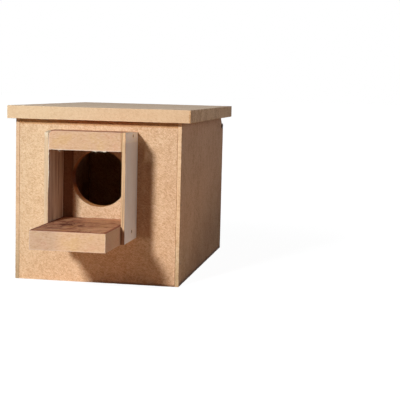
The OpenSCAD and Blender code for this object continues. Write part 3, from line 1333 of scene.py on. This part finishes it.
@dataclass(frozen=True)
class Splinters:
    """Loose splinters along an edge: thin tapering strands that leave it at random slants and sag.

    Point(t) = root + t * length * way + t^2 * sag, and the half axes shrink as (1 - thinning * t)^taper.
    """

    roots: tuple[Point, ...]
    along: Point
    hang: Point
    seed: int
    length: tuple[float, float] = (1.0 * MM, 2.4 * MM)
    wide: float = 0.16 * MM
    thin: float = 0.09 * MM
    slant: float = 1.2
    sag: float = 0.3 * MM
    thinning: float = 0.96
    taper: float = 0.6
    stations: int = 9

    def shells(self) -> list[Shell]:
        """Computes the splinters.

        Returns:
            One closed shell for each root.
        """
        rng = np.random.default_rng(self.seed)
        along, hang = np.array(self.along), np.array(self.hang)
        side = np.cross(hang, along)
        share = np.linspace(0, 1, self.stations)[:, None]
        taper = (1 - self.thinning * share) ** self.taper
        shells = []
        for root in self.roots:
            slant = rng.uniform(-self.slant, self.slant)
            way = (hang + slant * along) / np.hypot(1, slant)
            path = np.array(root) + share * way * rng.uniform(*self.length)
            path = path + share**2 * (hang + side * rng.uniform(-1, 1)) * self.sag
            shells.append(strand(path, taper * self.wide * np.cross(way, side), taper * self.thin * side))
        return shells


# ---------------------------------------------------------------- sub-assemblies


def dress(work: str, name: str, shell: Shell, body: Body, finish: Finish) -> None:
    """Makes a finished piece, rides it on its body and hides the CAD node that it stands for, if any.

    Args:
        work: The first word of the piece's name.
        name: The CAD node that it replaces, or else a name of its own; it picks the material's seed.
        shell: Its surface.
        body: The body that it rides on.
        finish: What its material is made by.
    """
    piece = shell.to_object(f"{work}_{name}")
    piece.data.materials.append(finish.make(name))
    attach(piece, body.value)
    if name in frame["nodes"]:
        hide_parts(name)
    LOG.info("%s: %d faces, on %s", piece.name, len(piece.data.polygons), body.value)


def board_of(node: str, flat: Axis, **more: "Arris | float | tuple[Knock, ...]") -> Board:
    """The worn board that fills a node's box; more are other fields of Board."""
    low, high = node_box(node)
    return Board(low, high, flat, SEEDS[node], **more)


def in_metres(bells: tuple[Point, ...]) -> tuple[Point, ...]:
    """A lip's bells, given in mm."""
    return tuple(tuple(length * MM for length in bell) for bell in bells)


@dataclass
class BoxCase:
    """The box: front panel with its entrance, two thin sides, back and floor."""

    board: Fibreboard = Fibreboard()
    side: Fibreboard = Fibreboard(
        face=(0.71, 0.415, 0.218),
        sawn=(0.87, 0.565, 0.325),
        # Painted shade: the drift darkens the sides towards the bottom rear.
        drift_tone=(0.60, 0.60, 0.545),
        drift_way=(0.0, 0.15, -1.0),
        drift_span=(-0.09, 0.0),
        clouds=0.9,
        mottling=1.15,
        chipping=0.65,
        streaks=0.6,
        edge_line=0.5,
        shades_and_tints=(
            # Painted shade: a dark band along the sides' bottom edge, where they stand on the floor.
            ShadeAndTint((0.36, 0.29, 0.25), y=(-117, 0, 2, 0), z=(0, 1.4, 0, 3)),
            # Painted shade: the whole left side darker, so that its inner face shows darker through the entrance.
            ShadeAndTint((0.87, 0.87, 0.90), x=(0, -70, 0, 10)),
            # Painted light: the lower front corner of the sides lighter and bluer.
            ShadeAndTint((1.0, 1.07, 1.11), y=(0, -85, 0, 20), z=(0, 25, 0, 20)),
        ),
    )
    front: Fibreboard = Fibreboard(
        shades_and_tints=(
            # Painted shade: the front face darker towards the bottom, where less of the lamp's light falls.
            ShadeAndTint((0.92, 0.93, 0.94), z=(0, 10, 0, 100)),
            ShadeAndTint((1.15, 0.80, 0.45), (-25, 29, 1, 1), (-117.8, -108.4, 1.8, 0.3), (66, 120, 1, 1)),
            # Painted shadow of the lid's overhang: a band along the top of the front face, which also shows when
            # the lid is open.
            ShadeAndTint((0.77, 0.61, 0.42), y=FRONT_SKIN, z=(140.3, 0, 1.8, 0)),
            # Painted shade: a dark line along the bottom edge of the front face, towards its right.
            ShadeAndTint((0.5, 0.42, 0.36), x=(30, 0, 50, 0), z=(0, 0.6, 0, 2.2)),
            # Painted shade in the porch, between the left cheek and the entrance.
            ShadeAndTint((0.38, 0.25, 0.19), (-32.5, -22.8, 0.5, 2.2), FRONT_TO_INNER, (58, 125, 2, 2)),
            # More painted shade on the entrance's upper left rim and wall, fading out towards the lit part.
            ShadeAndTint((0.62, 0.56, 0.54), (-22, -15, 2.2, 8), FRONT_TO_INNER, (92, 125, 8, 2)),
            # Painted shadow of the right cheek on the front face; these two boxes follow the slant of its edge.
            ShadeAndTint((0.66, 0.53, 0.45), (34, 41, 0.5, 3), FRONT_SKIN, (45, 120, 6, 9)),
            ShadeAndTint((0.66, 0.53, 0.45), (44, 46.5, 3, 5), FRONT_SKIN, (45, 106, 6, 9)),
        )
    )
    seam: float = 0.05 * MM
    saw_wave: float = 0.08 * MM
    pivot_bore: float = 1.3 * MM
    bore_rim: float = 0.1 * MM
    side_step: float = 2.0 * MM

    def build(self) -> None:
        """Builds and dresses the five boards."""
        self._front()
        for node in ("left_side", "right_side"):
            self._side(node)
        for node, flat in (("back_panel", Axis.Y), ("floor_panel", Axis.Z)):
            dress("worn", node, board_of(node, flat).shell(), Body.BOX, self.board)

    def _front(self) -> None:
        """The front panel; its entrance comes from the record's bore mount."""
        node = "front_panel"
        low, high = node_box(node)
        bore = next(m for m in frame["record"]["mounts"] if m["name"] == "entrance")
        left, right = low[0] + self.seam, high[0] - self.seam
        panel = DrilledPanel(
            corners=np.array([(left, low[2]), (right, low[2]), (right, high[2]), (left, high[2])]),
            centre=np.array([bore["pos_m"][0], bore["pos_m"][2]]),
            hole_radius=bore["dims"]["r_mm"] * MM,
            front=low[1],
            back=high[1],
            axes=(Axis.X, Axis.Z, Axis.Y),
            seed=SEEDS[node],
            saw_wave=self.saw_wave,
        )
        dress("worn", node, panel.shell(), Body.BOX, self.front)

    def _side(self, node: str) -> None:
        """A side panel: its corner cut comes from the node's own points, its bore from the hinge.

        Args:
            node: The CAD node.
        """
        low, high = node_box(node)
        points = node_points(node)
        top_back = points[points[:, 2] > high[2] - NODE_GAP][:, 1].max()
        back_top = points[points[:, 1] > high[1] - NODE_GAP][:, 2].max()
        base = [(low[1], low[2]), (high[1], low[2])]
        top = [(high[1], back_top), (top_back, high[2]), (low[1], high[2])]
        outer, inner = (low[0], high[0]) if low[0] < 0 else (high[0], low[0])
        panel = DrilledPanel(
            corners=np.array(base + top),
            centre=np.array(frame["joints"][0]["pos_m"][1:]),
            hole_radius=self.pivot_bore,
            front=outer,
            back=inner,
            axes=(Axis.Y, Axis.Z, Axis.X),
            seed=SEEDS[node],
            rim=self.bore_rim,
            step=self.side_step,
        )
        dress("worn", node, panel.shell(), Body.BOX, self.side)


@dataclass
class Porch:
    """The porch: two pale cheeks, a beech top block with a splintered edge, and the landing board.

    The tops of the cheeks and of the block slope down to the panel, and the block's left front corner is
    knocked off. A stain on the landing board is its place from the left front corner, its reach and its
    strength; a bell of a lip is its place along the edge, its height and its reach. Both are in mm.
    """

    left_strip: PaleStrip = PaleStrip(edge_lines=0.35)
    right_strip: PaleStrip = PaleStrip(
        # Painted shade: a darker copy of the left cheek's inner face, which cuts the light bounced into the porch.
        inner=(0.48, 0.40, 0.34),
        edge=(0.78, 0.50, 0.275),
        edge_lines=0.95,
        shades_and_tints=(
            # Painted shadow of the landing board on the cheek's front edge.
            ShadeAndTint((0.62, 0.48, 0.46), y=(0, -163.6, 0, 0.4), z=(0, 52, 0, 4)),
            # Painted shade in the gap where the landing board meets the cheek.
            ShadeAndTint((0.45, 0.35, 0.25), (0, 33.4, 0, 0.5), (0, -163, 0, 0.6), (0, 55.5, 0, 2)),
            # Painted light: the top of the cheek's outer face lighter.
            ShadeAndTint((1.28, 1.25, 1.20), x=(34.5, 0, 1, 0), z=(130, 0, 4, 0)),
        ),
    )
    beech: SawnBeech = SawnBeech(
        crown=(0.50, 0.29, 0.24),
        # Darker and less red towards the landing board's left end.
        shades_and_tints=(ShadeAndTint((0.84, 0.87, 0.94), x=(0, -13, 0, 12)),),
    )
    block_beech: SawnBeech = SawnBeech(
        pale=(0.86, 0.66, 0.52),
        figure=0.0,
        rubbed=0.9,
        shades_and_tints=(ShadeAndTint((0.84, 0.66, 0.46), x=(32.1, 0, 0.8, 0)),),
    )
    fibre: TornFibre = TornFibre()
    crisp: Arris = Arris(radius=0.2 * MM, knocks=8)
    rubbed: Arris = Arris(radius=0.16 * MM, wear=0.5, wear_length=9 * MM, knocks=8)
    stains: tuple[Span, ...] = (
        (22.0, 42.0, 11.0, 0.95),
        (28.0, 36.0, 8.0, 0.8),
        (16.0, 60.0, 9.0, 0.8),
        (38.0, 5.0, 9.0, 0.95),
        (46.0, 4.0, 7.0, 0.8),
        (10.0, 18.0, 12.0, 0.8),
        (26.0, 20.0, 10.0, 0.6),
        (14.0, 42.0, 30.0, 1.0),
    )
    cheek_step: float = 1.6 * MM
    block_step: float = 1.2 * MM
    landing_step: float = 1.4 * MM
    chipped: float = 2.6 * MM
    front_drop: float = 0.9 * MM
    rear_drop: float = 1.7 * MM
    corner_loss: float = 3.0 * MM
    corner_reach: float = 4.5 * MM
    nail_ring_mm: float = 2.2
    torn_top_mm: float = 4.2
    torn_top_strength: float = 0.7
    tear_inset: float = 0.25 * MM
    tear_rise: float = 0.1 * MM
    lip_foot: float = 84 * MM
    lip_ends: float = 1.0 * MM
    lip_top: float = 1.5 * MM
    cheek_bells: tuple[Point, ...] = ((30, 0.55, 9), (16, 0.5, 7), (6, 0.25, 3))
    block_bells: tuple[Point, ...] = ((40, 0.6, 1.4), (47.5, 0.75, 1.5), (44, 0.1, 5), (9, 0.3, 2))
    splinter_places_mm: tuple[float, ...] = (8.5, 38.9, 40.4, 41.6, 46.2, 47.9, 49.3)

    def build(self) -> None:
        """Builds and dresses the porch's boards and their torn edges."""
        self._cheek("porch_left_cheek", "left_cheek_nails", self.rubbed, self.left_strip)
        self._cheek("porch_right_cheek", "right_cheek_nails", self.crisp, self.right_strip)
        self._block()
        self._landing()
        self._tears()

    def _cheek(self, node: str, nails: str, arris: Arris, strip: PaleStrip) -> None:
        """One cheek, with torn rings round its nails; the left one's top front corner is torn too.

        Args:
            node: The CAD node.
            nails: The node of its nails.
            arris: How its edges are rubbed.
            strip: Its finish.
        """
        low, high = node_box(node)
        is_left = low[0] < 0
        outer, inner = (low[0], high[0]) if is_left else (high[0], low[0])
        middles = [part.mean(0) for part in nails_of(nails, Axis.X)]
        places = [Torn((outer, middle[1], middle[2]), self.nail_ring_mm) for middle in middles]
        chip = self.chipped if is_left else self.front_drop
        if is_left:
            places.append(Torn((inner, low[1], high[2] - chip), self.torn_top_mm, self.torn_top_strength))
        drops = {"rear_drop": self.rear_drop, "front_drop": chip}
        board = board_of(node, Axis.X, arris=arris, step=self.cheek_step, **drops)
        finish = replace(strip, outer=float(outer), places=tuple(places))
        dress("worn", node, board.shell(), Body.BOX, finish)

    def _block(self) -> None:
        """The top block."""
        node = "porch_top_block"
        low, high = node_box(node)
        corner = Knock((low[0], low[1], high[2]), self.corner_loss, self.corner_reach)
        drops = {"rear_drop": self.rear_drop, "front_drop": self.front_drop}
        board = board_of(node, Axis.Z, arris=self.crisp, step=self.block_step, knocks=(corner,), **drops)
        dress("worn", node, board.shell(), Body.BOX, self.block_beech)

    def _landing(self) -> None:
        """The landing board."""
        node = "landing_board"
        low, high = node_box(node)
        stains = tuple(
            Torn((low[0] + right * MM, low[1] + back * MM, high[2]), reach, strength)
            for right, back, reach, strength in self.stains
        )
        board = board_of(node, Axis.Z, arris=self.crisp, step=self.landing_step)
        dress("worn", node, board.shell(), Body.BOX, replace(self.beech, stains=stains))

    def _tears(self) -> None:
        """The lip along the left cheek's inner edge, and the torn front edge under the block."""
        low, high = node_box("porch_left_cheek")
        block_low, block_high = node_box("porch_top_block")
        front = low[1] + self.tear_inset
        under = block_low[2] + self.tear_rise
        cheek_lip = Lip(
            start=(high[0], front, self.lip_foot),
            stop=(high[0], front, high[2] - self.chipped - self.lip_top),
            hang=(1.0, 0.0, 0.0),
            bells=in_metres(self.cheek_bells),
            seed=SEEDS["cheek_lip"],
        )
        dress("torn", "cheek_lip", cheek_lip.shell(), Body.BOX, self.fibre)
        block_lip = Lip(
            start=(block_low[0] + self.lip_ends, front, under),
            stop=(block_high[0] - self.lip_ends, front, under),
            hang=(0.0, 0.0, -1.0),
            bells=in_metres(self.block_bells),
            seed=SEEDS["block_lip"],
        )
        roots = tuple((block_low[0] + place * MM, front, under) for place in self.splinter_places_mm)
        splinters = Splinters(roots, (1.0, 0.0, 0.0), (0.0, 0.0, -1.0), SEEDS["splinters"])
        tears = joined([block_lip.shell(), *splinters.shells()])
        dress("torn", "block_lip", tears, Body.BOX, self.fibre)


@dataclass
class Lid:
    """The lid board and the pine batten that the hinge nails hold."""

    board: Fibreboard = Fibreboard(
        face=(0.78, 0.56, 0.37),
        sawn=(0.81, 0.562, 0.335),
        edge_line=0.6,
        sawn_contrast=0.42,
        drift_tone=(1.05, 1.02, 0.91),
        drift_way=(1.0, 0.0, 0.0),
        drift_span=(0.082, 0.0835),
        drift_contrast=8.0,
        shades_and_tints=(
            # Painted highlight: the lid's underside and lower edges lighter and bluer.
            ShadeAndTint((1.10, 1.13, 1.18), z=(0, 144.3, 0, 0.8)),
            # Painted shade and sheen: the front face turns redder towards its right end, away from the lamp.
            ShadeAndTint((1.0, 0.92, 0.88), x=(60, 0, 100, 0), y=(0, -127.9, 0, 0.5)),
        ),
    )
    pine: KnottyPine = KnottyPine()

    def build(self) -> None:
        """Builds and dresses the two boards."""
        boards = (("lid_board", Slot.MDF, self.board), ("hinge_batten", Slot.PINE, self.pine))
        for node, slot, finish in boards:
            dress("worn", node, board_of(node, Axis.Z).shell(), Body.LID, finish)


@dataclass
class Nails:
    """Every nail of the box: each node that holds some, the axis they are driven along, and their body."""

    steel: DullSteel = DullSteel()
    shape: NailShape = NailShape()
    rows: tuple[tuple[str, Axis, Body], ...] = (
        ("left_side_pins", Axis.X, Body.BOX),
        ("right_side_pins", Axis.X, Body.BOX),
        ("left_cheek_nails", Axis.X, Body.BOX),
        ("right_cheek_nails", Axis.X, Body.BOX),
        ("top_block_nails", Axis.Y, Body.BOX),
        ("landing_board_nails", Axis.Y, Body.BOX),
        ("lid_nails", Axis.Z, Body.LID),
        ("left_pivot_nail", Axis.X, Body.LID),
        ("right_pivot_nail", Axis.X, Body.LID),
    )

    def build(self) -> None:
        """Builds and dresses the nails, one piece for each node."""
        for node, axis, body in self.rows:
            nails = joined([self.shape.shell(part, axis) for part in nails_of(node, axis)])
            dress("turned", node, nails, body, self.steel)


# ---------------------------------------------------------------- studio


@dataclass(frozen=True)
class Viewpoint:
    """The camera: its place, how it is turned in degrees, and its focal length in frame widths."""

    place: Point = (0.24458, -1.01658, 0.17597)
    left_turn: float = 9.641
    down_tilt: float = 6.154
    roll: float = 1.384
    focal: float = 2.635875
    sensor_mm: float = 36.0

    def make(self) -> None:
        """Builds the camera from the turned axes of its view."""
        turn, tilt, roll = (math.radians(a) for a in (self.left_turn, self.down_tilt, self.roll))
        level = Vector((-math.sin(turn), math.cos(turn), 0))
        sideways = Vector((math.cos(turn), math.sin(turn), 0))
        upright = Vector((0, 0, 1))
        ahead = math.cos(tilt) * level - math.sin(tilt) * upright
        above = math.sin(tilt) * level + math.cos(tilt) * upright
        right = math.cos(roll) * sideways + math.sin(roll) * above
        up = -math.sin(roll) * sideways + math.cos(roll) * above
        turned = Matrix((right, up, -ahead)).transposed().to_4x4()
        data = bpy.data.cameras.new("camera")
        data.sensor_fit = "HORIZONTAL"
        data.sensor_width = self.sensor_mm
        data.lens = self.focal * self.sensor_mm
        camera = bpy.data.objects.new("camera", data)
        camera.matrix_world = Matrix.Translation(self.place) @ turned
        bpy.context.scene.collection.objects.link(camera)
        bpy.context.scene.camera = camera


@dataclass(frozen=True)
class Lamp:
    """A round soft lamp that faces a target."""

    name: str
    place: Point
    target: Point
    width: float
    power: float
    colour: Tone

    def make(self) -> None:
        """Builds the lamp; the camera doesn't see it."""
        data = bpy.data.lights.new(self.name, "AREA")
        data.shape = "DISK"
        data.size = self.width
        data.energy = self.power
        data.color = self.colour
        lamp = bpy.data.objects.new(self.name, data)
        aim = Vector(self.target) - Vector(self.place)
        turned = aim.to_track_quat("-Z", "Y").to_matrix().to_4x4()
        lamp.matrix_world = Matrix.Translation(self.place) @ turned
        lamp.visible_camera = False
        bpy.context.scene.collection.objects.link(lamp)


@dataclass(frozen=True)
class Glow:
    """Soft light that comes from one side of the room."""

    towards: Point
    start: float
    colour: Tone


@dataclass(frozen=True)
class Studio:
    """A pale floor, a white surround and the lamp."""

    key: Lamp = Lamp("key", (-0.428, -1.464, 0.737), (0, -0.12, 0.08), 0.2, 23.0, (0.932, 0.982, 1.0))
    room: tuple[Glow, ...] = (
        Glow((0.75, 0.65, 0.15), 0.2, (0.26, 0.25, 0.30)),
        Glow((-1.0, 0.2, 0.1), 0.0, (0.20, 0.255, 0.244)),
        Glow((0.88, -0.45, 0.15), 0.7, (0.52, 0.455, 0.43)),
    )
    gloss_span: tuple[float, float] = (-0.3, 0.3)
    floor_half: float = 12.0
    floor_bounce: Tone = (0.86, 0.645, 0.473)
    floor_far: Tone = (0.035, 0.025, 0.017)
    floor_fade: tuple[float, float] = (0.2, 0.5)
    floor_glow: float = 0.96
    floor_shade: float = 0.12

    def make(self) -> None:
        """Builds the world, the floor and the lamp."""
        self.key.make()
        self._world()
        self._floor()

    def _world(self) -> None:
        """White where a camera looks and behind the object for gloss; elsewhere a soft glow per side."""
        world = bpy.data.worlds.new("surround")
        bpy.context.scene.world = world
        world.use_nodes = True
        tree = Nodes(world.node_tree)
        way = tree.node("ShaderNodeTexCoord", {}, {}).outputs["Generated"]
        light = (0, 0, 0)
        for glow in self.room:
            lean = tree.lean(way, glow.towards).smooth(glow.start, 1.0)
            light = tree.mix("ADD", lean, light, glow.colour)
        gloss = tree.ray("Is Glossy Ray").most(tree.ray("Is Transmission Ray"))
        behind = tree.lean(way, (0, 1, 0)).smooth(*self.gloss_span)
        seen = (gloss * behind).most(tree.ray("Is Camera Ray"))
        colour = tree.blend(seen, light, (1, 1, 1))
        background = tree.node("ShaderNodeBackground", {}, {"Color": colour, "Strength": 1.0})
        tree.node("ShaderNodeOutputWorld", {}, {"Surface": background.outputs["Background"]})

    def _floor(self) -> None:
        """A white sheet that keeps a faint shadow: to the camera it is part glow and part lit paper."""
        mesh = bpy.data.meshes.new("floor")
        half = self.floor_half
        corners = [(-half, -half, 0), (half, -half, 0), (half, half, 0), (-half, half, 0)]
        mesh.from_pydata(corners, [], [(0, 1, 2, 3)])
        floor = bpy.data.objects.new("floor", mesh)
        bpy.context.scene.collection.objects.link(floor)
        material, tree = new_material("floor_paper")
        seen = tree.ray("Is Camera Ray")
        far = (tree.gap_mm((0, 0, 0)) * MM).smooth(*self.floor_fade)
        bounce = tree.blend(far, self.floor_bounce, self.floor_far)
        shade = (self.floor_shade,) * 3
        paper = tree.node("ShaderNodeBsdfDiffuse", {}, {"Color": tree.blend(seen, bounce, shade)})
        strength = seen * (self.floor_glow + far * (1 - self.floor_glow))
        glow = tree.node("ShaderNodeEmission", {}, {"Color": (1, 1, 1), "Strength": strength})
        both = tree.node("ShaderNodeAddShader", {}, {0: paper.outputs["BSDF"], 1: glow.outputs["Emission"]})
        tree.node("ShaderNodeOutputMaterial", {}, {"Surface": both.outputs["Shader"]})
        mesh.materials.append(material)


def main() -> None:
    """Builds the studio and every piece."""
    logging.basicConfig(level=logging.INFO, format="%(name)s %(message)s")
    bpy.context.scene.view_settings.view_transform = "Standard"
    Viewpoint().make()
    Studio().make()
    BoxCase().build()
    Porch().build()
    Lid().build()
    Nails().build()


if __name__ == "__main__":
    main()
